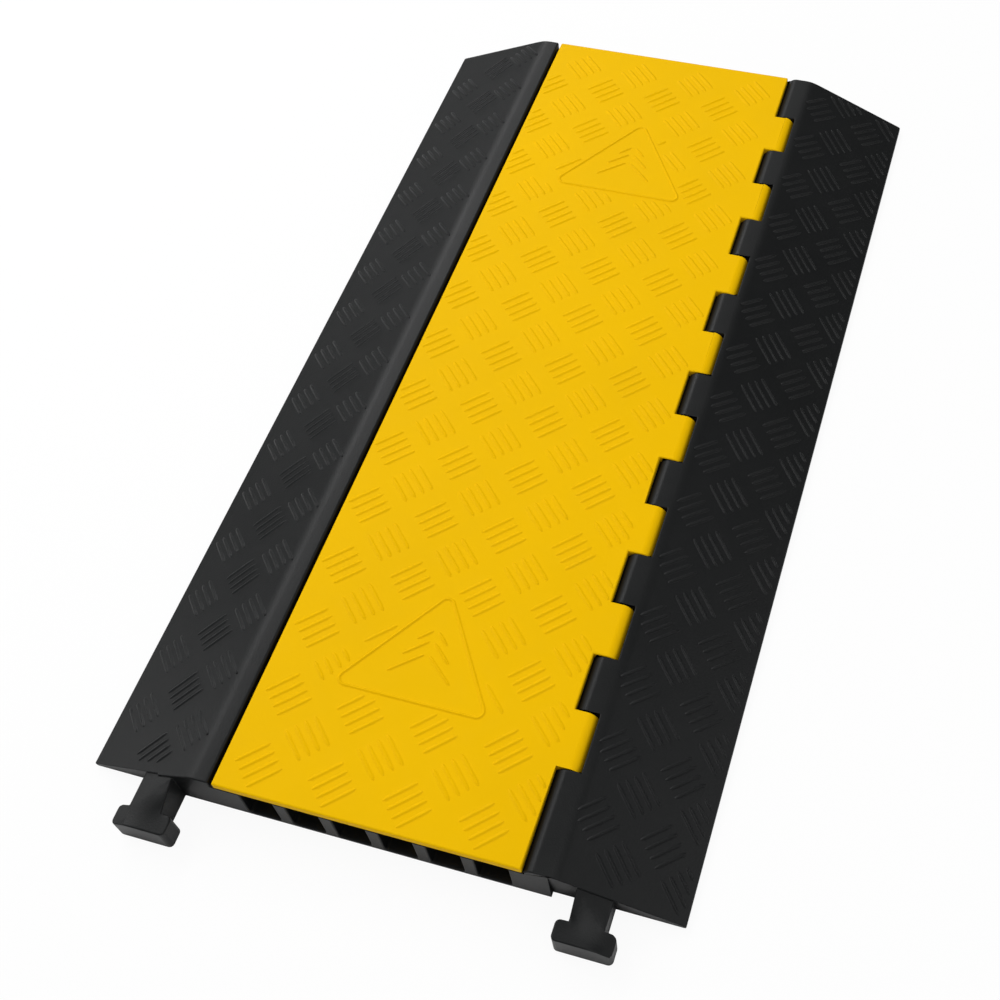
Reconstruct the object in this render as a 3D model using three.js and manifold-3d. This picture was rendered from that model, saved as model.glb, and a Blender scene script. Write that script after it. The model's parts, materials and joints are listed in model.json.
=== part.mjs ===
// Floor cord cover: a rubber ramp with cable channels under one hinged lid.
// Millimetres, +Z up. X runs across the ramps and Y along the channels.
// The origin is under the middle of the bounding box, on the floor.
import * as THREE from 'three';
import { mergeVertices } from 'three/addons/utils/BufferGeometryUtils.js';
import Module from 'manifold-3d';

const wasm = await Module();
wasm.setup();

// Base across its width, from the left edge to the right one
const RAMP_RUN = 100;
const LEFT_CREST_WIDTH = 16.5;
const LEDGE_WIDTH = 24.7;
const CHANNEL_COUNT = 6;
const CHANNEL_WIDTH = 28;
const CHANNEL_WALL = 10.8;
const HINGE_WALL = 10.9;
const RIGHT_CREST_WIDTH = 5.3;

// Base in height
const BODY_HEIGHT = 47;
const LIP_HEIGHT = 5.5;
const CHANNEL_FLOOR = 4;

// Base along its length
const BODY_LENGTH = 912;
const END_UNDERCUT = 4.5;

// Rounded edges of the mouldings
const CREST_RADIUS = 30;
const EDGE_RADIUS = 1.5;
const CHANNEL_RADIUS = 3;
const CONNECTOR_RADIUS = 4;
const ROUND_STEPS = 4;

// Lid
const LID_THICKNESS = 8;
const LID_SIDE_GAP = 3;
const LID_SEAT_GAP = 0.3;
const LID_EDGE_RADIUS = 2;

// Hinge, with the lid's fingers between the base's knuckles
const BARREL_RADIUS = 9.7;
const BARREL_GAP = 0.6;
const BARREL_STEPS = 20;
const FINGER_PITCH = 101.8;
const FINGER_LENGTH = 50.5;
const FINGER_SIDE_GAP = 0.6;
const FIRST_FINGER_INSET = 62.3;
const LAST_KNUCKLE_LEAST = 60;
const ROD_RADIUS = 3.5;
const ROD_GAP = 0.3;
const ROD_STEPS = 24;
const ROD_NEAR_INSET = 9;
const ROD_FAR_INSET = 2;
const BORE_OVERRUN = 1;

// Connectors on the near end, and the sockets for them under the far end
const CONNECTOR_INSET = 69.2;
const NECK_WIDTH = 28;
const LEFT_NECK_LENGTH = 27;
const RIGHT_NECK_LENGTH = 21.5;
const NECK_ROOT = 12;
const HEAD_WIDTH = 47.4;
const HEAD_DEPTH = 17;
const HEAD_HEIGHT = 27;
const SOCKET_GAP = 0.8;
const SOCKET_COVER = 1.5;

// How far a cutting shape runs past the face that it opens
const CUT_PAST = 2;

// Places worked out from the sizes above
const channelsWidth = CHANNEL_COUNT * CHANNEL_WIDTH + (CHANNEL_COUNT - 1) * CHANNEL_WALL;
const pocketRadius = BARREL_RADIUS + BARREL_GAP;
const bodyWidth = 2 * RAMP_RUN + LEFT_CREST_WIDTH + LEDGE_WIDTH + channelsWidth
  + HINGE_WALL + 2 * pocketRadius + RIGHT_CREST_WIDTH;
const leftEdge = -bodyWidth / 2;
const rightEdge = bodyWidth / 2;
const leftCrest = leftEdge + RAMP_RUN;
const rightCrest = rightEdge - RAMP_RUN;
const crestInside = leftCrest + LEFT_CREST_WIDTH;
const channelsLeft = crestInside + LEDGE_WIDTH;
const hingeAxisX = rightCrest - RIGHT_CREST_WIDTH - pocketRadius;
const hingeAxisZ = BODY_HEIGHT - BARREL_RADIUS;
const lidUnderside = BODY_HEIGHT - LID_THICKNESS;
const wallTop = lidUnderside - LID_SEAT_GAP;
const lidLeft = crestInside + LID_SIDE_GAP;
const lidRight = hingeAxisX - pocketRadius;
const nearEnd = -BODY_LENGTH / 2;
const farEnd = BODY_LENGTH / 2;
const fingerRoom = BODY_LENGTH - FIRST_FINGER_INSET - LAST_KNUCKLE_LEAST - FINGER_LENGTH;
const fingerCount = Math.floor(fingerRoom / FINGER_PITCH) + 1;
const connectorReach = Math.max(LEFT_NECK_LENGTH, RIGHT_NECK_LENGTH) + HEAD_DEPTH;

// Height of a ramp's top at a distance in from its outer edge
function rampHeight(inset) {
  return LIP_HEIGHT + (BODY_HEIGHT - LIP_HEIGHT) * inset / RAMP_RUN;
}

// Points of an arc, from one angle to another, in degrees
function arc(centreX, centreY, radius, from, to, steps) {
  return Array.from({ length: steps + 1 }, (_, i) => {
    const angle = THREE.MathUtils.degToRad(from + (to - from) * i / steps);
    return [centreX + radius * Math.cos(angle), centreY + radius * Math.sin(angle)];
  });
}

// An outline whose corners [x, y, radius] are rounded, each limited by the sides that it joins
function rounded(corners) {
  const points = [];
  corners.forEach(([x, y, radius = 0], i) => {
    const corner = new THREE.Vector2(x, y);
    if (!radius) {
      points.push([x, y]);
      return;
    }
    const before = corners[(i + corners.length - 1) % corners.length];
    const after = corners[(i + 1) % corners.length];
    const back = new THREE.Vector2(before[0], before[1]).sub(corner);
    const ahead = new THREE.Vector2(after[0], after[1]).sub(corner);
    const longest = 0.45 * Math.min(back.length(), ahead.length());
    back.normalize();
    ahead.normalize();
    const halfAngle = Math.acos(THREE.MathUtils.clamp(back.dot(ahead), -1, 1)) / 2;
    const tangent = Math.min(radius / Math.tan(halfAngle), longest);
    const bend = tangent * Math.tan(halfAngle);
    const middle = back.clone().add(ahead).normalize();
    const centre = corner.clone().addScaledVector(middle, bend / Math.sin(halfAngle));
    const first = corner.clone().addScaledVector(back, tangent).sub(centre);
    const last = corner.clone().addScaledVector(ahead, tangent).sub(centre);
    const turn = Math.atan2(first.cross(last), first.dot(last));
    for (let step = 0; step <= ROUND_STEPS; step += 1) {
      const spoke = first.clone().rotateAround(new THREE.Vector2(), turn * step / ROUND_STEPS);
      points.push([centre.x + spoke.x, centre.y + spoke.y]);
    }
  });
  return points;
}

// The solid of a closed three.js geometry
function solid(geometry) {
  geometry.deleteAttribute('normal');
  geometry.deleteAttribute('uv');
  const merged = mergeVertices(geometry, 1e-4);
  return new wasm.Manifold(new wasm.Mesh({
    numProp: 3,
    vertProperties: new Float32Array(merged.attributes.position.array),
    triVerts: new Uint32Array(merged.index.array),
  }));
}

// A named mesh of a finished solid
function meshOf(finished, name, material) {
  const { vertProperties, triVerts } = finished.getMesh();
  const geometry = new THREE.BufferGeometry();
  geometry.setAttribute('position', new THREE.BufferAttribute(vertProperties, 3));
  geometry.setIndex(new THREE.BufferAttribute(triVerts, 1));
  geometry.computeVertexNormals();
  const mesh = new THREE.Mesh(geometry, material);
  mesh.name = name;
  return mesh;
}

// A prism with an outline of [x, y] points, raised along its third axis
function prism(outline, depth) {
  const shape = new THREE.Shape(outline.map(([x, y]) => new THREE.Vector2(x, y)));
  return new THREE.ExtrudeGeometry(shape, { depth, bevelEnabled: false });
}

// A prism along Y with an outline of [x, z] points
function prismAlongY(outline, from, to) {
  return solid(prism(outline, to - from).rotateX(Math.PI / 2).translate(0, to, 0));
}

// A prism along X with an outline of [y, z] points
function prismAlongX(outline, from, to) {
  const turn = new THREE.Matrix4().makeBasis(
    new THREE.Vector3(0, 1, 0),
    new THREE.Vector3(0, 0, 1),
    new THREE.Vector3(1, 0, 0),
  );
  return solid(prism(outline, to - from).applyMatrix4(turn).translate(from, 0, 0));
}

// A prism along Z with an outline of [x, y] points
function prismAlongZ(outline, from, to) {
  return solid(prism(outline, to - from).translate(0, 0, from));
}

// Left side of a channel, counted from the left
function channelStart(index) {
  return channelsLeft + index * (CHANNEL_WIDTH + CHANNEL_WALL);
}

// Far side of a finger, counted from the far end
function fingerFar(index) {
  return farEnd - FIRST_FINGER_INSET - index * FINGER_PITCH;
}

// Section of the base across a row of knuckles, with the channels open at the top
function baseSection() {
  const rise = Math.asin((wallTop - hingeAxisZ) / BARREL_RADIUS);
  const knuckleEnd = 180 - THREE.MathUtils.radToDeg(rise);
  const corners = [
    [leftEdge, 0, EDGE_RADIUS],
    [rightEdge, 0, EDGE_RADIUS],
    [rightEdge, LIP_HEIGHT, EDGE_RADIUS],
    [rightCrest, BODY_HEIGHT, CREST_RADIUS],
    ...arc(hingeAxisX, hingeAxisZ, BARREL_RADIUS, 90, knuckleEnd, BARREL_STEPS / 2),
  ];
  for (let index = CHANNEL_COUNT - 1; index >= 0; index -= 1) {
    const start = channelStart(index);
    const end = start + CHANNEL_WIDTH;
    corners.push([end, wallTop, EDGE_RADIUS]);
    corners.push([end, CHANNEL_FLOOR, CHANNEL_RADIUS]);
    corners.push([start, CHANNEL_FLOOR, CHANNEL_RADIUS]);
    corners.push([start, wallTop, EDGE_RADIUS]);
  }
  corners.push([crestInside, wallTop]);
  corners.push([crestInside, BODY_HEIGHT, LID_EDGE_RADIUS]);
  corners.push([leftCrest, BODY_HEIGHT, CREST_RADIUS]);
  corners.push([leftEdge, LIP_HEIGHT, EDGE_RADIUS]);
  return rounded(corners);
}

// Room for one finger of the lid in the base
function fingerPocket(index) {
  const far = fingerFar(index) + FINGER_SIDE_GAP;
  const near = fingerFar(index) - FINGER_LENGTH - FINGER_SIDE_GAP;
  const outline = [
    ...arc(hingeAxisX, hingeAxisZ, pocketRadius, 180, 360, BARREL_STEPS),
    [hingeAxisX + pocketRadius, BODY_HEIGHT + CUT_PAST],
    [hingeAxisX - pocketRadius, BODY_HEIGHT + CUT_PAST],
  ];
  return prismAlongY(outline, near, far);
}

// Wedge that leans an end of the ramps back, down to the floor
function undercut(from, to) {
  const outline = [
    [nearEnd - CUT_PAST, -CUT_PAST],
    [nearEnd + END_UNDERCUT, -CUT_PAST],
    [nearEnd + END_UNDERCUT, 0],
    [nearEnd, BODY_HEIGHT],
    [nearEnd - CUT_PAST, BODY_HEIGHT],
  ];
  return prismAlongX(outline, from, to);
}

// Bore for the hinge rod, closed at the near end, or open along the whole hinge for the lid
function rodBore(from) {
  const circle = arc(hingeAxisX, hingeAxisZ, ROD_RADIUS + ROD_GAP, 0, 360, ROD_STEPS).slice(1);
  return prismAlongY(circle, from, farEnd + CUT_PAST);
}

// Plan of a connector, from its root to the front of its head, grown by a gap all round
function connectorPlan(centre, headBack, root, gap) {
  const neck = NECK_WIDTH / 2 + gap;
  const head = HEAD_WIDTH / 2 + gap;
  const back = headBack + gap;
  const front = headBack - HEAD_DEPTH - gap;
  return rounded([
    [centre - neck, root],
    [centre - neck, back],
    [centre - head, back, CONNECTOR_RADIUS],
    [centre - head, front, CONNECTOR_RADIUS],
    [centre + head, front, CONNECTOR_RADIUS],
    [centre + head, back, CONNECTOR_RADIUS],
    [centre + neck, back],
    [centre + neck, root],
  ]);
}

// Section across a connector, whose top stays below the ramp of the unit that it locks into
function connectorSection(side, gap, floor) {
  const edge = side * rightEdge;
  const outerInset = CONNECTOR_INSET - HEAD_WIDTH / 2 - SOCKET_GAP;
  const innerInset = CONNECTOR_INSET + HEAD_WIDTH / 2 + SOCKET_GAP;
  const drop = SOCKET_COVER + SOCKET_GAP - gap;
  const outline = [
    [edge - side * outerInset, floor],
    [edge - side * innerInset, floor],
    [edge - side * innerInset, rampHeight(innerInset) - drop],
    [edge - side * outerInset, rampHeight(outerInset) - drop],
  ];
  return side > 0 ? outline.reverse() : outline;
}

// Side view of a connector: a level head, and a neck that rises to the ramp at its root
function connectorProfile(headBack, butt, root, gap, floor) {
  const front = headBack - HEAD_DEPTH - gap - CUT_PAST;
  const rootHeight = rampHeight(CONNECTOR_INSET + NECK_WIDTH / 2) - SOCKET_COVER - SOCKET_GAP;
  return [
    [front, floor],
    [root, floor],
    [root, rootHeight + gap],
    [butt, rootHeight + gap],
    [headBack + gap, HEAD_HEIGHT + gap],
    [front, HEAD_HEIGHT + gap],
  ];
}

// A connector or the room for it, locked into the ramp that ends at the butt
function connector(side, butt, root, gap, floor) {
  const centre = side * (rightEdge - CONNECTOR_INSET);
  const headBack = butt - (side < 0 ? LEFT_NECK_LENGTH : RIGHT_NECK_LENGTH);
  const plan = connectorPlan(centre, headBack, root, gap).reverse();
  const front = headBack - HEAD_DEPTH - gap - CUT_PAST;
  const halfWidth = HEAD_WIDTH / 2 + gap + CUT_PAST;
  const profile = connectorProfile(headBack, butt, root, gap, floor);
  return prismAlongZ(plan, floor, BODY_HEIGHT)
    .intersect(prismAlongY(connectorSection(side, gap, floor), front, root))
    .intersect(prismAlongX(profile, centre - halfWidth, centre + halfWidth));
}

// Rubber base: ramps, channels, knuckles, connectors and sockets in one moulding
function buildBase() {
  let base = prismAlongY(baseSection(), nearEnd, farEnd);
  base = base.subtract(undercut(leftEdge - CUT_PAST, leftEdge + CONNECTOR_INSET));
  base = base.subtract(undercut(rightCrest - RIGHT_CREST_WIDTH, rightEdge + CUT_PAST));
  for (let index = 0; index < fingerCount; index += 1) {
    base = base.subtract(fingerPocket(index));
  }
  base = base.subtract(rodBore(nearEnd + ROD_NEAR_INSET - BORE_OVERRUN));
  for (const side of [-1, 1]) {
    base = base.add(connector(side, nearEnd, nearEnd + NECK_ROOT, 0, 0));
    base = base.subtract(connector(side, farEnd, farEnd + CUT_PAST, SOCKET_GAP, -CUT_PAST));
  }
  return base;
}

// Section of a finger, which grows out of the lid and rounds over the hinge rod
function fingerSection() {
  const underside = THREE.MathUtils.radToDeg(Math.asin((lidUnderside - hingeAxisZ) / BARREL_RADIUS));
  return [
    [lidRight - CUT_PAST, lidUnderside],
    ...arc(hingeAxisX, hingeAxisZ, BARREL_RADIUS, 180 - underside, 450, 2 * BARREL_STEPS),
    [lidRight - CUT_PAST, BODY_HEIGHT],
  ];
}

// Lid: one plate over the channels with its row of fingers
function buildLid() {
  let lid = prismAlongY(rounded([
    [lidLeft, lidUnderside, EDGE_RADIUS],
    [lidRight, lidUnderside],
    [lidRight, BODY_HEIGHT],
    [lidLeft, BODY_HEIGHT, LID_EDGE_RADIUS],
  ]), nearEnd, farEnd);
  for (let index = 0; index < fingerCount; index += 1) {
    const far = fingerFar(index);
    lid = lid.add(prismAlongY(fingerSection(), far - FINGER_LENGTH, far));
  }
  return lid.subtract(rodBore(nearEnd - CUT_PAST));
}

// Steel rod through the knuckles and fingers
function buildRod() {
  const length = BODY_LENGTH - ROD_NEAR_INSET - ROD_FAR_INSET;
  const rod = new THREE.CylinderGeometry(ROD_RADIUS, ROD_RADIUS, length, ROD_STEPS);
  const middle = (nearEnd + ROD_NEAR_INSET + farEnd - ROD_FAR_INSET) / 2;
  return solid(rod.translate(hingeAxisX, middle, hingeAxisZ));
}

const rubber = new THREE.MeshStandardMaterial({ color: 0x2c2e2f, roughness: 0.7, metalness: 0 });
const yellowPlastic = new THREE.MeshStandardMaterial({ color: 0xecb909, roughness: 0.45, metalness: 0 });
const steel = new THREE.MeshStandardMaterial({ color: 0xb4b6b8, roughness: 0.35, metalness: 1 });

const group = new THREE.Group();
group.add(meshOf(buildBase(), 'base', rubber));
group.add(meshOf(buildLid(), 'lid', yellowPlastic));
group.add(meshOf(buildRod(), 'hinge_rod', steel));
group.position.y = connectorReach / 2;

export default group;
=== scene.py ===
"""A floor cord cover: rubber ramps and channels, a hinged plastic lid and its hinge rod.

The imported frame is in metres: X across the ramps, Y along the channels, Z up. Sizes here are
in millimetres and become metres where a mesh is made.
"""

import json
import logging
import math
from dataclasses import dataclass, field
from enum import Enum
from typing import Sequence

import bmesh
import bpy
from mathutils import Matrix, Vector

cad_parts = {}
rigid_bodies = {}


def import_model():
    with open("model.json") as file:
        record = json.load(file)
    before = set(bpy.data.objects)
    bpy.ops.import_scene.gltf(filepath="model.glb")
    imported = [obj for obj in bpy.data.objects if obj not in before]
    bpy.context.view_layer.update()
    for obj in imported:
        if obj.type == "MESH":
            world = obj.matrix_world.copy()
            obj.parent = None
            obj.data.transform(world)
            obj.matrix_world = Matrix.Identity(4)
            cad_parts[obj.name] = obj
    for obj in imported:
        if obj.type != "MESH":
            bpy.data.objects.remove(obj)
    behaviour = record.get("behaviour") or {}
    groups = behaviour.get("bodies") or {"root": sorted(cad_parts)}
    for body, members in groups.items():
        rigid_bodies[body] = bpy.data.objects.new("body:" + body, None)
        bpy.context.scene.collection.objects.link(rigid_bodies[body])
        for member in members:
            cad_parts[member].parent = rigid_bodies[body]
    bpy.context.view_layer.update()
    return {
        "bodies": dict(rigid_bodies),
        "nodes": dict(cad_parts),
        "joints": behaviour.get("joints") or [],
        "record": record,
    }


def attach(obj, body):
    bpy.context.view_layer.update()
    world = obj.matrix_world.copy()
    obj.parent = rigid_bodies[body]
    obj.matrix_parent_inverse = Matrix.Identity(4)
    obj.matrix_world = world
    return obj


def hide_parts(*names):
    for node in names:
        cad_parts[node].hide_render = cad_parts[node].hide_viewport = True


LOG = logging.getLogger("cord_cover")
MM = 0.001
TOP_LEVEL = 47.0
CREST_ACROSS = 150.0
RAMP_RUN = 100.0
RAMP_DROP = 41.5
RAMP_TILT = math.atan2(RAMP_DROP, RAMP_RUN)
TILT_COS = math.cos(RAMP_TILT)
TILT_SIN = math.sin(RAMP_TILT)
SocketValue = float | tuple | bpy.types.NodeSocket


class Lean(Enum):
    """Which way the bars of a tread group run, seen from above with the far end up."""

    FAR_RIGHT = 45.0
    FAR_LEFT = 135.0


class Tint(Enum):
    """Linear colours of the finishes."""

    RUBBER = (0.0078, 0.0085, 0.0088)
    RUBBER_WORN = (0.030, 0.032, 0.033)
    YELLOW = (0.885, 0.516, 0.0002)
    YELLOW_WORN = (0.93, 0.60, 0.02)
    STEEL = (0.56, 0.56, 0.55)
    DUST = (0.42, 0.40, 0.37)
    # Near black mixed into the colour as painted shade where corners and gaps are closed in.
    PAINTED_SHADE = (0.0005, 0.0005, 0.0005)
    FLOOR = (0.93, 0.93, 0.93)
    WHITE = (1.0, 1.0, 1.0)

    @property
    def rgba(self) -> tuple[float, float, float, float]:
        """The colour with full opacity."""
        return (*self.value, 1.0)


class Wiring:
    """Adds nodes to a shader tree and sets or links their sockets."""

    def __init__(self, tree: bpy.types.NodeTree) -> None:
        """Keeps the tree.

        Args:
            tree: the shader tree or node group that gets the nodes.
        """
        self.tree = tree

    def add(
        self,
        kind: str,
        sockets: dict[str | int, SocketValue] | None = None,
        **settings: object,
    ) -> bpy.types.Node:
        """Adds one node.

        Args:
            kind: the node's type without its ShaderNode prefix.
            sockets: values or source sockets by input name or index.
            settings: properties of the node, such as operation.

        Returns:
            The new node.
        """
        node = self.tree.nodes.new("ShaderNode" + kind)
        for name, value in settings.items():
            setattr(node, name, value)
        self.feed(node, sockets or {})
        return node

    def feed(self, node: bpy.types.Node, sockets: dict[str | int, SocketValue]) -> None:
        """Sets or links inputs of a node.

        Args:
            node: the node whose inputs are fed.
            sockets: values or source sockets by input name or index.
        """
        for name, value in sockets.items():
            if isinstance(value, bpy.types.NodeSocket):
                self.tree.links.new(value, node.inputs[name])
            else:
                node.inputs[name].default_value = value

    def math(self, operation: str, *values: SocketValue) -> bpy.types.NodeSocket:
        """Adds a Math node.

        Args:
            operation: the node's operation.
            values: its inputs in order.

        Returns:
            The node's output.
        """
        return self.add("Math", dict(enumerate(values)), operation=operation).outputs[0]

    def noise(
        self, position: bpy.types.NodeSocket, scale: SocketValue, detail: float = 2.0
    ) -> bpy.types.NodeSocket:
        """Adds a noise texture.

        Args:
            position: the place that is looked up.
            scale: how many cells fit in a metre.
            detail: octaves of the noise.

        Returns:
            The noise value, from 0 to 1.
        """
        sockets = {"Vector": position, "Scale": scale, "Detail": detail}
        return self.add("TexNoise", sockets).outputs["Fac"]

    def remap(
        self,
        value: bpy.types.NodeSocket,
        span: tuple[float, float],
        to: tuple[float, float] = (0.0, 1.0),
    ) -> bpy.types.NodeSocket:
        """Maps a range of a value onto another one, held at both ends.

        Args:
            value: the value.
            span: where its range starts and ends.
            to: what the two ends become.

        Returns:
            The mapped value.
        """
        sockets = {"Value": value, 1: span[0], 2: span[1], 3: to[0], 4: to[1]}
        return self.add("MapRange", sockets).outputs["Result"]

    def mix(
        self, mask: SocketValue, under: SocketValue, over: SocketValue
    ) -> bpy.types.NodeSocket:
        """Mixes two colours.

        Args:
            mask: how much of the second one shows.
            under: the first colour.
            over: the second colour.

        Returns:
            The mixed colour.
        """
        node = self.add("Mix", {0: mask, 6: under, 7: over}, data_type="RGBA")
        return node.outputs[2]


class EffectGroup:
    """One shader node group: a named effect with its own inputs and outputs."""

    def __init__(self, name: str, inputs: dict[str, float], outputs: Sequence[str]) -> None:
        """Makes the group with its sockets.

        Args:
            name: the group's name.
            inputs: input names with their first values.
            outputs: output names.
        """
        self.tree = bpy.data.node_groups.new(name, "ShaderNodeTree")
        for label, value in inputs.items():
            socket = self.tree.interface.new_socket(
                label, in_out="INPUT", socket_type="NodeSocketFloat"
            )
            socket.default_value = value
        for label in outputs:
            self.tree.interface.new_socket(
                label, in_out="OUTPUT", socket_type="NodeSocketFloat"
            )
        self.wiring = Wiring(self.tree)
        self.given = self.tree.nodes.new("NodeGroupInput").outputs
        self.result = self.tree.nodes.new("NodeGroupOutput")
        self.position = self.wiring.add("TexCoord").outputs["Object"]

    def give(self, **values: bpy.types.NodeSocket) -> None:
        """Links the group's outputs, named in lower case."""
        self.wiring.feed(
            self.result, {name.capitalize(): value for name, value in values.items()}
        )

    def placed(self, wiring: Wiring, **values: float) -> bpy.types.Node:
        """Places the group in a material.

        Args:
            wiring: the material's wiring.
            values: the group's inputs, named in lower case.

        Returns:
            The group node.
        """
        node = wiring.add("Group", node_tree=self.tree)
        wiring.feed(node, {name.capitalize(): value for name, value in values.items()})
        return node


class Effects:
    """The effects that the finishes share.

    The spans say between which values of a noise, a turn or an openness an effect grows from
    nothing to its whole strength.
    """

    OPEN_SPAN = (0.15, 0.75)
    PIT_SPAN = (0.35, 0.65)
    TONE_SPAN = (0.3, 0.7)
    EDGE_SPAN = (0.995, 0.90)
    PATCH_SCALE = 160.0
    PATCH_SPAN = (0.4, 0.7)
    PATCH_LEAST = 0.2
    FACING_SPAN = (0.3, 1.0)
    CLOUD_SPAN = (0.45, 0.8)

    def __init__(self) -> None:
        """Builds every group once."""
        self.grain = self._grain()
        self.wear = self._wear()
        self.dust = self._dust()
        self.cavity_shade = self._cavity_shade()

    def _cavity_shade(self) -> EffectGroup:
        """Painted cavity shade: a mask that grows where little of the surroundings is open, used
        to paint shade into corners, gaps and recesses.

        Returns:
            The group.
        """
        group = EffectGroup("painted_cavity_shade", {"Reach": 0.03, "Amount": 0.8}, ["Mask"])
        wiring = group.wiring
        reach = {"Distance": group.given["Reach"]}
        openness = wiring.add("AmbientOcclusion", reach, samples=6).outputs["AO"]
        closed = wiring.remap(openness, self.OPEN_SPAN, (1.0, 0.0))
        group.give(mask=wiring.math("MULTIPLY", closed, group.given["Amount"]))
        return group

    def _grain(self) -> EffectGroup:
        """Moulded grain: a fine pitted height and a broad slow change of tone.

        Returns:
            The group.
        """
        group = EffectGroup(
            "moulded_grain", {"Scale": 900.0, "Broad": 14.0}, ["Height", "Tone"]
        )
        wiring = group.wiring
        fine = wiring.noise(group.position, group.given["Scale"], 3.0)
        broad = wiring.noise(group.position, group.given["Broad"], 3.0)
        pits = wiring.remap(fine, self.PIT_SPAN)
        group.give(height=pits, tone=wiring.remap(broad, self.TONE_SPAN))
        return group

    def _wear(self) -> EffectGroup:
        """Edge wear: a mask on corners that stand out, broken up by noise.

        Returns:
            The group.
        """
        group = EffectGroup("edge_wear", {"Radius": 0.0015, "Amount": 0.5}, ["Mask"])
        wiring = group.wiring
        geometry = wiring.add("NewGeometry")
        rounded = wiring.add("Bevel", {"Radius": group.given["Radius"]}, samples=4)
        bend = wiring.add(
            "VectorMath",
            {0: rounded.outputs[0], 1: geometry.outputs["Normal"]},
            operation="DOT_PRODUCT",
        )
        edge = wiring.remap(bend.outputs["Value"], self.EDGE_SPAN)
        patches = wiring.noise(group.position, self.PATCH_SCALE, 4.0)
        patchy = wiring.remap(patches, self.PATCH_SPAN, (self.PATCH_LEAST, 1.0))
        mask = wiring.math("MULTIPLY", edge, patchy)
        group.give(mask=wiring.math("MULTIPLY", mask, group.given["Amount"]))
        return group

    def _dust(self) -> EffectGroup:
        """Dust: specks and faint clouds that settle on faces turned up.

        Returns:
            The group.
        """
        group = EffectGroup("settled_dust", {"Scale": 45.0, "Amount": 0.05}, ["Mask"])
        wiring = group.wiring
        normal = wiring.add("NewGeometry").outputs["Normal"]
        up = wiring.add("SeparateXYZ", {0: normal}).outputs["Z"]
        facing = wiring.remap(up, self.FACING_SPAN)
        specks = wiring.noise(group.position, group.given["Scale"], 5.0)
        clouds = wiring.remap(specks, self.CLOUD_SPAN)
        mask = wiring.math("MULTIPLY", facing, clouds)
        group.give(mask=wiring.math("MULTIPLY", mask, group.given["Amount"]))
        return group


@dataclass(frozen=True)
class MouldedFinish:
    """A moulded rubber or plastic surface.

    Args:
        name: the material's name.
        body: colour of the surface.
        worn: colour of its rubbed edges.
        roughness: lowest and highest roughness over the surface.
        specular: strength of the reflection.
        grain_scale: cells of the grain in a metre.
        grain_depth: depth of the grain in metres.
        tone_change: how much the broad tone darkens the body.
        wear: strength of the rubbed edges.
        dust: strength of the dust.
        painted_shade: strength of the shade painted into corners and gaps, as near black mixed
            into the colour.
    """

    name: str
    body: Tint
    worn: Tint
    roughness: tuple[float, float]
    specular: float
    grain_scale: float
    grain_depth: float
    tone_change: float
    wear: float
    dust: float
    painted_shade: float

    TONE_SCALE = 9.0
    WEAR_RADIUS = 0.0012
    DUST_SCALE = 45.0
    # How far, in metres, the painted corner shade looks for surfaces that close a spot in.
    PAINTED_SHADE_REACH = 0.03

    def material(self, effects: Effects) -> bpy.types.Material:
        """Builds the material.

        Args:
            effects: the shared node groups.

        Returns:
            The new material.
        """
        material = bpy.data.materials.new(self.name)
        material.use_nodes = True
        material.diffuse_color = self.body.rgba
        tree = material.node_tree
        shader = tree.nodes["Principled BSDF"]
        wiring = Wiring(tree)
        grain = effects.grain.placed(wiring, scale=self.grain_scale, broad=self.TONE_SCALE)
        wear = effects.wear.placed(wiring, radius=self.WEAR_RADIUS, amount=self.wear)
        dust = effects.dust.placed(wiring, scale=self.DUST_SCALE, amount=self.dust)
        height, tone = grain.outputs["Height"], grain.outputs["Tone"]
        shade = tuple(c * (1.0 - self.tone_change) for c in self.body.value) + (1.0,)
        colour = wiring.mix(tone, shade, self.body.rgba)
        colour = wiring.mix(wear.outputs["Mask"], colour, self.worn.rgba)
        colour = wiring.mix(dust.outputs["Mask"], colour, Tint.DUST.rgba)
        # Painted shade: the colour goes towards near black, and the roughness up, where the
        # surroundings close in, in corners, gaps and recesses.
        cavity_shade = effects.cavity_shade.placed(wiring, reach=self.PAINTED_SHADE_REACH, amount=self.painted_shade)
        colour = wiring.mix(cavity_shade.outputs["Mask"], colour, Tint.PAINTED_SHADE.rgba)
        rough = wiring.remap(tone, (0.0, 1.0), self.roughness)
        rough = wiring.math("MAXIMUM", rough, cavity_shade.outputs["Mask"])
        bump = wiring.add("Bump", {"Height": height, "Distance": self.grain_depth})
        wiring.feed(
            shader,
            {
                "Base Color": colour,
                "Roughness": rough,
                "Normal": bump.outputs["Normal"],
                "Specular IOR Level": self.specular,
            },
        )
        return material


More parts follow.
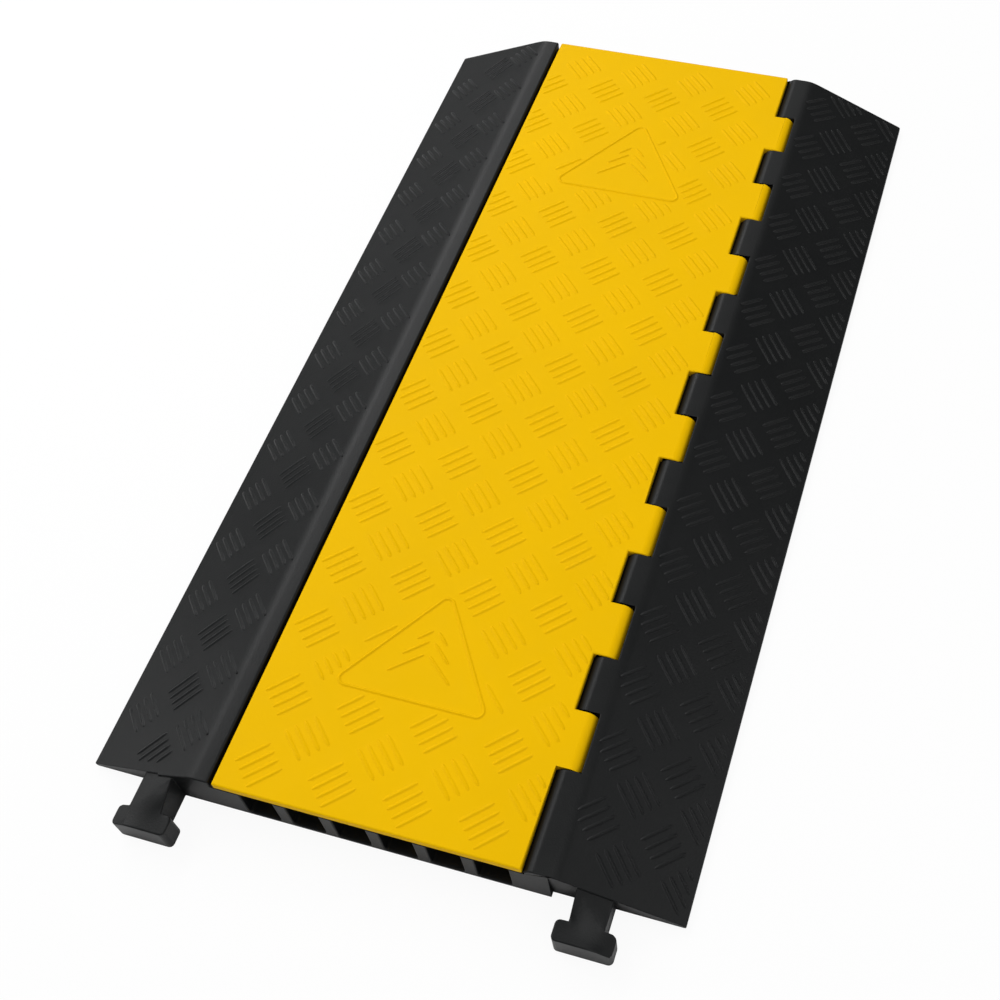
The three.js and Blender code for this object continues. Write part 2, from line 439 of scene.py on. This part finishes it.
@dataclass(frozen=True)
class DrawnSteelFinish:
    """Plain drawn steel with fine lines along its length.

    Args:
        name: the material's name.
        body: colour of the metal.
        roughness: lowest and highest roughness over the surface.
        line_scale: drawing lines in a metre across the rod.
        line_depth: depth of the lines in metres.
        dust: strength of the dust.
    """

    name: str = "drawn_steel"
    body: Tint = Tint.STEEL
    roughness: tuple[float, float] = (0.28, 0.42)
    line_scale: float = 2400.0
    line_depth: float = 0.00002
    dust: float = 0.1

    STRETCH = (1.0, 0.01, 1.0)
    LINE_SPAN = (0.3, 0.7)
    DUST_SCALE = 60.0

    def material(self, effects: Effects) -> bpy.types.Material:
        """Builds the material.

        Args:
            effects: the shared node groups.

        Returns:
            The new material.
        """
        material = bpy.data.materials.new(self.name)
        material.use_nodes = True
        material.diffuse_color = self.body.rgba
        tree = material.node_tree
        shader = tree.nodes["Principled BSDF"]
        wiring = Wiring(tree)
        position = wiring.add("TexCoord").outputs["Object"]
        drawn = wiring.add("Mapping", {"Vector": position, "Scale": self.STRETCH})
        lines = wiring.noise(drawn.outputs[0], self.line_scale)
        dust = effects.dust.placed(wiring, scale=self.DUST_SCALE, amount=self.dust)
        colour = wiring.mix(dust.outputs["Mask"], self.body.rgba, Tint.DUST.rgba)
        bump = wiring.add("Bump", {"Height": lines, "Distance": self.line_depth})
        wiring.feed(
            shader,
            {
                "Base Color": colour,
                "Roughness": wiring.remap(lines, self.LINE_SPAN, self.roughness),
                "Normal": bump.outputs["Normal"],
                "Metallic": 1.0,
            },
        )
        return material


RUBBER = MouldedFinish(
    name="black_moulded_rubber",
    body=Tint.RUBBER,
    worn=Tint.RUBBER_WORN,
    roughness=(0.34, 0.40),
    specular=0.18,
    grain_scale=700.0,
    grain_depth=0.00004,
    tone_change=0.12,
    wear=0.35,
    dust=0.004,
    painted_shade=0.95,
)
YELLOW = MouldedFinish(
    name="yellow_moulded_plastic",
    body=Tint.YELLOW,
    worn=Tint.YELLOW_WORN,
    roughness=(0.44, 0.52),
    specular=0.03,
    grain_scale=1100.0,
    grain_depth=0.00002,
    tone_change=0.035,
    wear=0.30,
    dust=0.003,
    painted_shade=0.30,
)


@dataclass(frozen=True)
class Facet:
    """A flat part of the surface that carries relief.

    Args:
        origin: a point of the facet, in millimetres.
        across: unit vector across the facet; the other one runs along +Y.
    """

    origin: tuple[float, float, float]
    across: tuple[float, float, float]

    @property
    def matrix(self) -> Matrix:
        """Turns facet coordinates (across, along, out) in millimetres into metres.

        Returns:
            The matrix.
        """
        across = Vector(self.across).normalized()
        along = Vector((0.0, 1.0, 0.0))
        out = across.cross(along)
        turn = Matrix((across, along, out)).transposed().to_4x4()
        place = Matrix.Translation(Vector(self.origin))
        return Matrix.Scale(MM, 4) @ place @ turn


@dataclass(frozen=True)
class RidgeSection:
    """The section of a low raised line.

    Args:
        width: its width at the surface, in millimetres.
        height: how far it stands up.
        sink: how far its foot reaches into what carries it.
        taper: length over which an open end comes down.
    """

    width: float = 4.2
    height: float = 0.8
    sink: float = 0.3
    taper: float = 4.0

    PROFILE = (
        (-0.5, 0.0),
        (-0.37, 0.16),
        (-0.24, 0.58),
        (-0.11, 0.92),
        (0.0, 1.0),
        (0.11, 0.92),
        (0.24, 0.58),
        (0.37, 0.16),
        (0.5, 0.0),
    )

    def ring(self, scale: float) -> list[tuple[float, float]]:
        """Points (sideways, out) of the section.

        Args:
            scale: how large the section is drawn, 1 for its full size.

        Returns:
            The points, with the foot's two first and last.
        """
        half = self.width / 2 * scale
        top = [(a * self.width * scale, b * self.height * scale) for a, b in self.PROFILE]
        return [(-half, -self.sink), *top, (half, -self.sink)]


class ReliefMesh:
    """Collects raised lines on facets into one closed mesh object.

    END_STEPS are the rings of a bar's end: the share of the taper from the tip, and the
    scale of the section there. SMOOTH_TO is the greatest angle in degrees that is shaded
    smooth.
    """

    END_STEPS = ((0.0, 0.30), (0.3, 0.72), (1.0, 1.0))
    END_SHARE = 0.3
    SMOOTH_TO = 50.0

    def __init__(self, name: str, section: RidgeSection) -> None:
        """Starts an empty relief.

        Args:
            name: name of the piece.
            section: section of its lines.
        """
        self.name = name
        self.section = section
        self.mesh = bmesh.new()

    def _sweep(
        self,
        stations: Sequence[tuple[Vector, Vector, float]],
        matrix: Matrix,
        closed: bool,
    ) -> None:
        """Sweeps the section over stations.

        Args:
            stations: the place, the sideways direction and the scale of each ring.
            matrix: from facet coordinates to metres.
            closed: whether the last ring joins the first one.
        """
        rings = []
        for place, side, scale in stations:
            ring = []
            for sideways, out in self.section.ring(scale):
                point = place + side * sideways
                ring.append(self.mesh.verts.new(matrix @ Vector((point.x, point.y, out))))
            rings.append(ring)
        pairs = list(zip(rings, rings[1:]))
        if closed:
            pairs.append((rings[-1], rings[0]))
        for first, second in pairs:
            for i in range(len(first)):
                j = (i + 1) % len(first)
                self.mesh.faces.new((first[i], first[j], second[j], second[i]))
        if not closed:
            self.mesh.faces.new(list(reversed(rings[0])))
            self.mesh.faces.new(rings[-1])

    def bar(self, start: Vector, end: Vector, matrix: Matrix) -> None:
        """Adds one straight bar with ends that come down.

        Args:
            start: one end, in facet coordinates.
            end: the other end.
            matrix: from facet coordinates to metres.
        """
        run = end - start
        along = run.normalized()
        side = Vector((along.y, -along.x))
        taper = min(self.section.taper, self.END_SHARE * run.length)
        steps = self.END_STEPS
        stations = [(start + along * (taper * d), side, s) for d, s in steps]
        stations += [(end - along * (taper * d), side, s) for d, s in reversed(steps)]
        self._sweep(stations, matrix, closed=False)

    def loop(self, points: Sequence[Vector], matrix: Matrix) -> None:
        """Adds a closed line of even height.

        Args:
            points: its middle line, in facet coordinates.
            matrix: from facet coordinates to metres.
        """
        stations = []
        for i, point in enumerate(points):
            along = (points[(i + 1) % len(points)] - points[i - 1]).normalized()
            stations.append((point, Vector((along.y, -along.x)), 1.0))
        self._sweep(stations, matrix, closed=True)

    def piece(self, material: bpy.types.Material) -> bpy.types.Object:
        """Finishes the mesh.

        Args:
            material: the finish of the relief.

        Returns:
            The new object.
        """
        bmesh.ops.recalc_face_normals(self.mesh, faces=self.mesh.faces)
        data = bpy.data.meshes.new(self.name)
        self.mesh.to_mesh(data)
        self.mesh.free()
        data.shade_smooth()
        data.set_sharp_from_angle(angle=math.radians(self.SMOOTH_TO))
        data.materials.append(material)
        piece = bpy.data.objects.new(self.name, data)
        bpy.context.scene.collection.objects.link(piece)
        return piece


def rounded_corners(corners: Sequence[Vector], radius: float, steps: int) -> list[Vector]:
    """Rounds the corners of a closed outline.

    Args:
        corners: the corners in order.
        radius: how far each arc starts from its corner, as a radius.
        steps: straight pieces in each arc.

    Returns:
        The points of the rounded outline.
    """
    points = []
    for i, corner in enumerate(corners):
        back = (corners[i - 1] - corner).normalized()
        ahead = (corners[(i + 1) % len(corners)] - corner).normalized()
        half = back.angle(ahead) / 2
        centre = corner + (back + ahead).normalized() * (radius / math.sin(half))
        tangent = radius / math.tan(half)
        first = corner + back * tangent - centre
        last = corner + ahead * tangent - centre
        turn = first.angle_signed(last)
        for step in range(steps + 1):
            points.append(centre + Matrix.Rotation(-turn * step / steps, 2) @ first)
    return points


@dataclass(frozen=True)
class RaisedTriangle:
    """A rounded triangle of raised line that points along the channels.

    Args:
        middle: centre of its box, in facet coordinates.
        base: width of its near side before rounding.
        height: from its near side to its apex before rounding.
        radius: radius of its corners.
        marks: for each arrowhead inside, how far its ends lie from the middle along the
            channels, and half its width.
    """

    middle: tuple[float, float]
    base: float = 134.0
    height: float = 102.5
    radius: float = 6.0
    marks: Sequence[tuple[float, float]] = ((-30.0, 27.0), (-12.0, 20.0), (4.0, 13.0))

    ARC_STEPS = 8
    MARK_STEEPNESS = 0.8
    MARK_GAP = 2.2

    def corners(self, grow: float = 0.0) -> list[Vector]:
        """The sharp corners.

        Args:
            grow: how far the sides are moved out.

        Returns:
            The three corners, anticlockwise from the near left one.
        """
        half_apex = math.atan2(self.base / 2, self.height)
        out = grow / math.sin(half_apex)
        low = -self.height / 2 - grow
        slope = self.height / (self.base / 2)
        top = self.height / 2 + out
        half = (top - low) / slope
        x, y = self.middle
        return [Vector((x - half, y + low)), Vector((x + half, y + low)), Vector((x, y + top))]

    def outline(self) -> list[Vector]:
        """The rounded outline's points."""
        return rounded_corners(self.corners(), self.radius, self.ARC_STEPS)

    def chevrons(self) -> list[tuple[Vector, Vector]]:
        """The bars of the mark inside: arrowheads that point to the apex.

        Returns:
            The two ends of each bar.
        """
        x, y = self.middle
        bars = []
        for rise, half in self.marks:
            top = y + rise + half * self.MARK_STEEPNESS
            for side in (-1.0, 1.0):
                foot = Vector((x + side * half, y + rise))
                bars.append((foot, Vector((x + side * self.MARK_GAP, top))))
        return bars

    def holds(self, point: Vector, margin: float) -> bool:
        """Whether a point lies inside the triangle, grown by a margin."""
        corners = self.corners(margin)
        return all(
            (corners[(i + 1) % 3] - corners[i]).cross(point - corners[i]) >= 0 for i in range(3)
        )


@dataclass(frozen=True)
class TreadColumn:
    """A column of tread groups at one distance across.

    Args:
        across: its place across the facet.
        first: place of its nearest group along the facet.
        pitch: from one group to the next.
        count: how many groups it has.
        lean: which way its bars run.
    """

    across: float
    first: float
    pitch: float
    count: int
    lean: Lean


@dataclass(frozen=True)
class TreadZone:
    """A facet's area that is covered with groups of parallel bars.

    Args:
        facet: what carries the bars.
        low: least place (across, along) of a bar's end.
        high: greatest place of a bar's end.
        columns: the columns of groups.
        clear_of: raised triangles that the bars keep clear of.
        bar_length: length of a whole bar.
        bar_pitch: from one bar of a group to the next.
        bars: how many bars a group has.
        drift: how far the columns move across for each millimetre along.

    LEAST_BAR is the shortest bar that is kept, CLEARANCE the distance from a bar's end to a
    triangle, and PROBES how many steps along a bar are tested.
    """

    facet: Facet
    low: tuple[float, float]
    high: tuple[float, float]
    columns: Sequence[TreadColumn]
    clear_of: Sequence[RaisedTriangle] = ()
    bar_length: float = 30.0
    bar_pitch: float = 7.9
    bars: int = 4
    drift: float = 0.0

    LEAST_BAR = 9.0
    CLEARANCE = 4.5
    PROBES = 30

    def _allows(self, point: Vector) -> bool:
        """Whether a bar may run over a point."""
        inside = all(self.low[i] <= point[i] <= self.high[i] for i in range(2))
        return inside and not any(t.holds(point, self.CLEARANCE) for t in self.clear_of)

    def _clipped(self, start: Vector, end: Vector) -> tuple[Vector, Vector] | None:
        """The longest stretch of a bar that is allowed.

        Args:
            start: one end of the whole bar.
            end: the other end.

        Returns:
            The two ends of the stretch, or None where too little is left.
        """
        run: list[Vector] = []
        best: list[Vector] = []
        for probe in range(self.PROBES + 1):
            point = start.lerp(end, probe / self.PROBES)
            run = run + [point] if self._allows(point) else []
            if len(run) > len(best):
                best = run
        if not best or (best[-1] - best[0]).length < self.LEAST_BAR:
            return None
        return best[0], best[-1]

    def fill(self, relief: ReliefMesh) -> int:
        """Adds the zone's bars to a relief.

        Args:
            relief: what collects the bars.

        Returns:
            How many bars were added.
        """
        count = 0
        matrix = self.facet.matrix
        for column in self.columns:
            angle = math.radians(column.lean.value)
            along = Vector((math.cos(angle), math.sin(angle)))
            side = Vector((along.y, -along.x))
            for group in range(column.count):
                place = column.first + group * column.pitch
                middle = Vector((column.across + self.drift * place, place))
                for bar in range(self.bars):
                    place = middle + side * ((bar - (self.bars - 1) / 2) * self.bar_pitch)
                    half = along * (self.bar_length / 2)
                    ends = self._clipped(place - half, place + half)
                    if ends:
                        relief.bar(*ends, matrix)
                        count += 1
        return count


@dataclass(frozen=True)
class SoftEdges:
    """How the edges of a carried-over solid are softened.

    Args:
        width: width of the softening, in millimetres.
        sharpest: angle in degrees above which an edge is softened.
        segments: faces across a softened edge.
        relaxed: boxes whose upward facets become one smooth sheet.

    Facets that meet at less than FLAT degrees become one. An edge gets no softening on a
    facet with a corner under SLIVER degrees, and less of it where another edge runs nearer
    than ROOM widths. In a relaxed box, facets whose normal rises over UPWARD are cut into
    cells of CELL millimetres, points nearer than MERGE are joined, and the sheet is smoothed
    PASSES times. WELD and CUT are the distances at which points count as the same.
    """

    width: float
    sharpest: float = 32.0
    segments: int = 3
    relaxed: Sequence[tuple[Sequence[float], Sequence[float]]] = ()

    FLAT = 0.6
    SLIVER = 15.0
    ROOM = 2.6
    BESIDE = 0.5
    UPWARD = 0.5
    CELL = 2.6
    MERGE = 0.35
    PASSES = 80
    WELD = 0.002
    CUT = 0.001

    def _sharp(self, edge: bmesh.types.BMEdge) -> bool:
        """Whether an edge is sharp enough to soften."""
        return edge.is_manifold and edge.calc_face_angle() > math.radians(self.sharpest)

    def _room(self, face: bmesh.types.BMFace) -> dict[bmesh.types.BMEdge, float]:
        """How much of the full softening each sharp edge of a face has room for.

        Args:
            face: a face of the shape.

        Returns:
            A share from 0 to 1 for each sharp edge that runs beside another one.
        """
        edges = [edge for edge in face.edges if self._sharp(edge)]
        if min(loop.calc_angle() for loop in face.loops) < math.radians(self.SLIVER):
            return {edge: 0.0 for edge in edges}
        shares = {}
        full = self.ROOM * self.width * MM
        for edge in edges:
            start, end = (vert.co for vert in edge.verts)
            run = (end - start).normalized()
            for other in edges:
                if set(other.verts) & set(edge.verts):
                    continue
                for vert in other.verts:
                    along = min(max((vert.co - start).dot(run), 0.0), edge.calc_length())
                    gap = vert.co - (start + run * along)
                    beside = abs(gap.dot(run)) < self.BESIDE * gap.length
                    if beside and gap.length < full:
                        share = gap.length / full
                        shares[edge] = min(shares.get(edge, 1.0), share)
                        shares[other] = min(shares.get(other, 1.0), share)
        return shares

    def _relax(
        self, shape: bmesh.types.BMesh, low: Sequence[float], high: Sequence[float]
    ) -> None:
        """Turns the upward facets inside a box into one smooth sheet, held at its rim.

        Args:
            shape: the shape that holds the facets.
            low: lowest corner of the box, in millimetres.
            high: highest corner of the box.
        """
        for axis in (0, 1):
            for step in range(1, int((high[axis] - low[axis]) / self.CELL)):
                sheet = self._upward(shape, low, high)
                place, across = Vector((0.0, 0.0, 0.0)), Vector((0.0, 0.0, 0.0))
                place[axis] = (low[axis] + step * self.CELL) * MM
                across[axis] = 1.0
                parts = dict.fromkeys(
                    part for face in sheet for part in (face, *face.edges, *face.verts)
                )
                bmesh.ops.bisect_plane(
                    shape,
                    geom=list(parts),
                    dist=self.CUT * MM,
                    plane_co=place,
                    plane_no=across,
                )
        sheet = self._upward(shape, low, high)
        verts = dict.fromkeys(vert for face in sheet for vert in face.verts)
        bmesh.ops.remove_doubles(shape, verts=list(verts), dist=self.MERGE * MM)
        sheet = dict.fromkeys(self._upward(shape, low, high))
        verts = dict.fromkeys(vert for face in sheet for vert in face.verts)
        inner = [vert for vert in verts if all(face in sheet for face in vert.link_faces)]
        for _ in range(self.PASSES):
            bmesh.ops.smooth_vert(shape, verts=inner, factor=0.5, use_axis_z=True)

    def _upward(
        self, shape: bmesh.types.BMesh, low: Sequence[float], high: Sequence[float]
    ) -> list[bmesh.types.BMFace]:
        """Finds the facets inside a box that face up.

        Args:
            shape: the shape that holds the facets.
            low: lowest corner of the box, in millimetres.
            high: highest corner of the box.

        Returns:
            The facets.
        """
        return [
            face
            for face in shape.faces
            if face.normal.z > self.UPWARD
            and all(low[i] <= vert.co[i] / MM <= high[i] for vert in face.verts for i in range(3))
        ]

    def _weigh(self, shape: bmesh.types.BMesh) -> None:
        """Stores on each edge how much it is softened.

        Args:
            shape: the shape whose edges are softened.
        """
        layer = shape.edges.layers.float.new("bevel_weight_edge")
        for edge in shape.edges:
            edge[layer] = 1.0 if self._sharp(edge) else 0.0
        for face in shape.faces:
            for edge, share in self._room(face).items():
                edge[layer] = min(edge[layer], share)

    def copy(self, node: bpy.types.Object, name: str) -> bpy.types.Object:
        """Copies a solid of the frame and softens its edges.

        Args:
            node: the frame's solid.
            name: name of the new piece.

        Returns:
            The new piece.
        """
        shape = bmesh.new()
        shape.from_mesh(node.data)
        bmesh.ops.remove_doubles(shape, verts=shape.verts, dist=self.WELD * MM)
        bmesh.ops.dissolve_limit(
            shape,
            angle_limit=math.radians(self.FLAT),
            verts=shape.verts,
            edges=shape.edges,
        )
        for low, high in self.relaxed:
            self._relax(shape, low, high)
        self._weigh(shape)
        data = bpy.data.meshes.new(name)
        shape.to_mesh(data)
        shape.free()
        data.shade_smooth()
        data.set_sharp_from_angle(angle=math.radians(self.sharpest))
        piece = bpy.data.objects.new(name, data)
        bpy.context.scene.collection.objects.link(piece)
        bevel = piece.modifiers.new("soft_edges", "BEVEL")
        bevel.limit_method = "WEIGHT"
        bevel.width = self.width * MM
        bevel.segments = self.segments
        bevel.use_clamp_overlap = False
        bevel.miter_outer = "MITER_ARC"
        normals = piece.modifiers.new("even_shading", "WEIGHTED_NORMAL")
        normals.keep_sharp = True
        return piece


@dataclass
class RubberBase:
    """The rubber moulding with the tread on its two ramps.

    Args:
        edges: softening of the moulding's edges.
        bar: section of the tread bars.
        left: tread of the left ramp.
        right: tread of the right ramp.
    """

    edges: SoftEdges = SoftEdges(
        width=1.1,
        relaxed=(
            ((-206.0, -479.0, 20.0), (-156.0, -428.0, 42.0)),
            ((156.0, -474.0, 20.0), (206.0, -428.0, 42.0)),
        ),
    )
    bar: RidgeSection = RidgeSection(width=3.8, height=1.05)
    left: TreadZone = TreadZone(
        facet=Facet((-CREST_ACROSS, 0.0, TOP_LEVEL), (TILT_COS, 0.0, TILT_SIN)),
        low=(-104.5, -424.0),
        high=(0.0, 474.0),
        columns=(
            TreadColumn(-76.0 / TILT_COS, -380.5, 56.9, 15, Lean.FAR_LEFT),
            TreadColumn(-44.0 / TILT_COS, -415.5, 57.2, 16, Lean.FAR_RIGHT),
            TreadColumn(-18.0 / TILT_COS, -393.0, 56.6, 16, Lean.FAR_LEFT),
        ),
        bar_pitch=7.2,
    )
    right: TreadZone = TreadZone(
        facet=Facet((CREST_ACROSS, 0.0, TOP_LEVEL), (TILT_COS, 0.0, -TILT_SIN)),
        low=(1.0, -424.0),
        high=(104.5, 474.0),
        columns=(
            TreadColumn(16.0 / TILT_COS, -378.0, 58.7, 15, Lean.FAR_RIGHT),
            TreadColumn(40.5 / TILT_COS, -405.5, 58.3, 16, Lean.FAR_LEFT),
            TreadColumn(68.5 / TILT_COS, -378.0, 58.7, 15, Lean.FAR_RIGHT),
            TreadColumn(91.0 / TILT_COS, -405.5, 58.3, 16, Lean.FAR_LEFT),
        ),
    )

    def build(self, frame: dict, effects: Effects) -> list[bpy.types.Object]:
        """Builds and dresses the base.

        Args:
            frame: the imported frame.
            effects: the shared node groups.

        Returns:
            Its pieces.
        """
        rubber = RUBBER.material(effects)
        moulding = self.edges.copy(frame["nodes"]["base"], "base_moulding")
        moulding.data.materials.append(rubber)
        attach(moulding, "base")
        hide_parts("base")
        pieces = [moulding]
        for name, zone in (("left_ramp_tread", self.left), ("right_ramp_tread", self.right)):
            relief = ReliefMesh(name, self.bar)
            LOG.info("%s: %d bars", name, zone.fill(relief))
            tread = relief.piece(rubber)
            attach(tread, "base")
            pieces.append(tread)
        return pieces


def lid_columns(pairs: int = 4, spacing: float = 62.3) -> tuple[TreadColumn, ...]:
    """The columns of tread groups over the lid, in pairs whose bars cross.

    Args:
        pairs: how many pairs there are.
        spacing: from one pair to the next.

    Returns:
        The columns.
    """
    pair = ((-111.5, -409.0, Lean.FAR_RIGHT), (-82.5, -377.5, Lean.FAR_LEFT))
    return tuple(
        TreadColumn(across + spacing * i, first, 63.2, 14, lean)
        for i in range(pairs)
        for across, first, lean in pair
    )


@dataclass
class HingedLid:
    """The yellow lid with its tread and its two raised triangles.

    Args:
        edges: softening of the panel's edges.
        bar: section of the tread bars.
        rim: section of the triangles' lines.
        top: the lid's top.
        triangles: the raised triangles by name.
    """

    edges: SoftEdges = SoftEdges(width=1.3)
    bar: RidgeSection = RidgeSection(height=1.0)
    rim: RidgeSection = RidgeSection(width=3.4, height=1.1)
    top: Facet = Facet((0.0, 0.0, TOP_LEVEL), (1.0, 0.0, 0.0))
    triangles: dict[str, RaisedTriangle] = field(
        default_factory=lambda: {
            "near_triangle": RaisedTriangle((-6.5, -274.5)),
            "far_triangle": RaisedTriangle((-6.5, 319.0)),
        }
    )

    def _tread(self) -> TreadZone:
        """The lid's tread, which keeps clear of the triangles."""
        return TreadZone(
            facet=self.top,
            low=(-127.5, -430.5),
            high=(122.0, 474.5),
            columns=lid_columns(),
            clear_of=tuple(self.triangles.values()),
            bar_pitch=8.3,
            drift=-0.027,
        )

    def build(self, frame: dict, effects: Effects) -> list[bpy.types.Object]:
        """Builds and dresses the lid.

        Args:
            frame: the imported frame.
            effects: the shared node groups.

        Returns:
            Its pieces.
        """
        plastic = YELLOW.material(effects)
        panel = self.edges.copy(frame["nodes"]["lid"], "lid_panel")
        panel.data.materials.append(plastic)
        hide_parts("lid")
        relief = ReliefMesh("lid_tread", self.bar)
        LOG.info("lid_tread: %d bars", self._tread().fill(relief))
        pieces = [panel, relief.piece(plastic)]
        for name, triangle in self.triangles.items():
            outline = ReliefMesh(name, self.rim)
            outline.loop(triangle.outline(), self.top.matrix)
            for start, end in triangle.chevrons():
                outline.bar(start, end, self.top.matrix)
            pieces.append(outline.piece(plastic))
        for piece in pieces:
            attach(piece, "lid")
        return pieces


@dataclass
class HingeRod:
    """The steel rod through the knuckles and fingers.

    Args:
        finish: the rod's finish.
    """

    finish: DrawnSteelFinish = DrawnSteelFinish()

    def build(self, frame: dict, effects: Effects) -> list[bpy.types.Object]:
        """Dresses the frame's own rod.

        Args:
            frame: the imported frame.
            effects: the shared node groups.

        Returns:
            The rod.
        """
        rod = frame["nodes"]["hinge_rod"]
        rod.data.materials.clear()
        rod.data.materials.append(self.finish.material(effects))
        return [rod]


@dataclass(frozen=True)
class Softbox:
    """A large soft lamp.

    Args:
        name: the lamp's name.
        place: where it hangs, in metres.
        power: its power in watts.
        size: its two sides.
        level: whether it faces straight down.
    """

    name: str
    place: tuple[float, float, float]
    power: float
    size: tuple[float, float] = (2.0, 2.0)
    level: bool = False

    def hang(self) -> None:
        """Makes the lamp, turned towards the middle of the floor or straight down."""
        data = bpy.data.lights.new(self.name, "AREA")
        data.shape = "RECTANGLE"
        data.size, data.size_y = self.size
        data.energy = self.power
        data.color = Tint.WHITE.value
        lamp = bpy.data.objects.new(self.name, data)
        lamp.location = self.place
        aim = Vector((0.0, 0.0, -1.0)) if self.level else -Vector(self.place)
        lamp.rotation_euler = aim.to_track_quat("-Z", "Y").to_euler()
        bpy.context.scene.collection.objects.link(lamp)


@dataclass
class Studio:
    """Floor, soft lamps, plain surroundings and the camera.

    Args:
        eye: the camera's place in millimetres.
        right: unit vector to the right of the picture.
        up: unit vector to the top of the picture.
        focal: focal length in picture widths.
        centre: optical centre from the picture's middle, in picture widths, right and down.
        floor_half: half the side of the floor in metres.
        floor_level: how high the floor lies, in metres, a hair under the base.
        whiteness: how far the floor is washed out to white where it is seen directly.
        daylight: strength of the even surroundings.
        lamps: the softboxes.
    """

    eye: tuple[float, float, float] = (320.9, -735.9, 1019.6)
    right: tuple[float, float, float] = (0.95702, 0.28625, -0.04657)
    up: tuple[float, float, float] = (-0.22016, 0.82161, 0.52582)
    focal: float = 1.3664
    centre: tuple[float, float] = (0.0970, 0.0726)
    floor_half: float = 6.0
    floor_level: float = -0.0002
    whiteness: float = 0.92
    daylight: float = 0.15
    lamps: tuple[Softbox, ...] = (
        Softbox("left_softbox", (-2.6, -0.3, 1.6), 28.0),
        Softbox("far_left_softbox", (-1.9, 1.9, 1.8), 10.0),
        Softbox("far_softbox", (-0.6, 2.7, 2.0), 11.0),
        Softbox("right_softbox", (2.5, 0.4, 1.8), 16.0),
        Softbox("near_right_softbox", (1.8, -1.9, 1.7), 11.0),
        Softbox("near_softbox", (0.2, -2.7, 1.5), 4.0),
        Softbox("top_softbox", (0.3, -0.5, 3.0), 23.0, (1.6, 1.6)),
        Softbox("strip_softbox", (-1.9, 1.9, 2.5), 60.0, (1.0, 3.6), level=True),
    )

    SENSOR = 36.0
    NEAREST = 0.02
    FARTHEST = 50.0
    CLOUD_SCALE = 3.0
    CLOUD_SHADE = 0.99
    FLOOR_ROUGHNESS = 0.9

    def _camera(self) -> None:
        """Sets the camera at the picture's viewpoint."""
        data = bpy.data.cameras.new("picture_camera")
        data.sensor_width = self.SENSOR
        data.lens = self.focal * self.SENSOR
        data.shift_x = -self.centre[0]
        data.shift_y = self.centre[1]
        data.clip_start = self.NEAREST
        data.clip_end = self.FARTHEST
        camera = bpy.data.objects.new("picture_camera", data)
        right = Vector(self.right).normalized()
        up = Vector(self.up)
        up = (up - right * up.dot(right)).normalized()
        turn = Matrix((right, up, right.cross(up))).transposed().to_4x4()
        camera.matrix_world = Matrix.Translation(Vector(self.eye) * MM) @ turn
        bpy.context.scene.collection.objects.link(camera)
        bpy.context.scene.camera = camera

    def _floor(self) -> None:
        """Lays a pale floor just under the base."""
        half = self.floor_half
        data = bpy.data.meshes.new("pale_floor")
        corners = [(-half, -half), (half, -half), (half, half), (-half, half)]
        points = [(*corner, self.floor_level) for corner in corners]
        data.from_pydata(points, [], [(0, 1, 2, 3)])
        floor = bpy.data.objects.new("pale_floor", data)
        bpy.context.scene.collection.objects.link(floor)
        data.materials.append(self._floor_material())

    def _floor_material(self) -> bpy.types.Material:
        """A matt pale floor, over-exposed to near white where it is seen directly.

        Returns:
            The new material.
        """
        material = bpy.data.materials.new("pale_floor")
        material.use_nodes = True
        nodes = material.node_tree.nodes
        wiring = Wiring(material.node_tree)
        position = wiring.add("TexCoord").outputs["Object"]
        cloud = wiring.noise(position, self.CLOUD_SCALE)
        pale = tuple(c * self.CLOUD_SHADE for c in Tint.FLOOR.value) + (1.0,)
        shader = nodes["Principled BSDF"]
        colour = wiring.mix(cloud, pale, Tint.FLOOR.rgba)
        wiring.feed(shader, {"Base Color": colour, "Roughness": self.FLOOR_ROUGHNESS})
        seen = wiring.add("LightPath").outputs["Is Camera Ray"]
        washed = wiring.math("MULTIPLY", seen, self.whiteness)
        glow = wiring.add("Emission", {"Color": Tint.WHITE.rgba, "Strength": 1.0})
        sockets = {0: washed, 1: shader.outputs[0], 2: glow.outputs[0]}
        blend = wiring.add("MixShader", sockets)
        wiring.feed(nodes["Material Output"], {"Surface": blend.outputs[0]})
        return material

    def _surroundings(self) -> None:
        """Fills the room with weak even light, white where it is seen directly."""
        world = bpy.data.worlds.new("studio_room")
        world.use_nodes = True
        wiring = Wiring(world.node_tree)
        seen = wiring.add("LightPath").outputs["Is Camera Ray"]
        strength = wiring.math("MAXIMUM", seen, self.daylight)
        background = world.node_tree.nodes["Background"]
        wiring.feed(background, {"Color": Tint.WHITE.rgba, "Strength": strength})
        bpy.context.scene.world = world

    def build(self) -> None:
        """Sets up the whole studio."""
        self._camera()
        self._floor()
        self._surroundings()
        for lamp in self.lamps:
            lamp.hang()
        view = bpy.context.scene.view_settings
        view.view_transform = "Standard"
        view.look = "None"


def main() -> None:
    """Builds the cord cover in its studio."""
    logging.basicConfig(level=logging.INFO, format="%(message)s")
    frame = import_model()
    Studio().build()
    effects = Effects()
    for assembly in (RubberBase(), HingedLid(), HingeRod()):
        for piece in assembly.build(frame, effects):
            LOG.info("%s: built as part of %s", piece.name, type(assembly).__name__)
    bpy.context.view_layer.update()


if __name__ == "__main__":
    main()
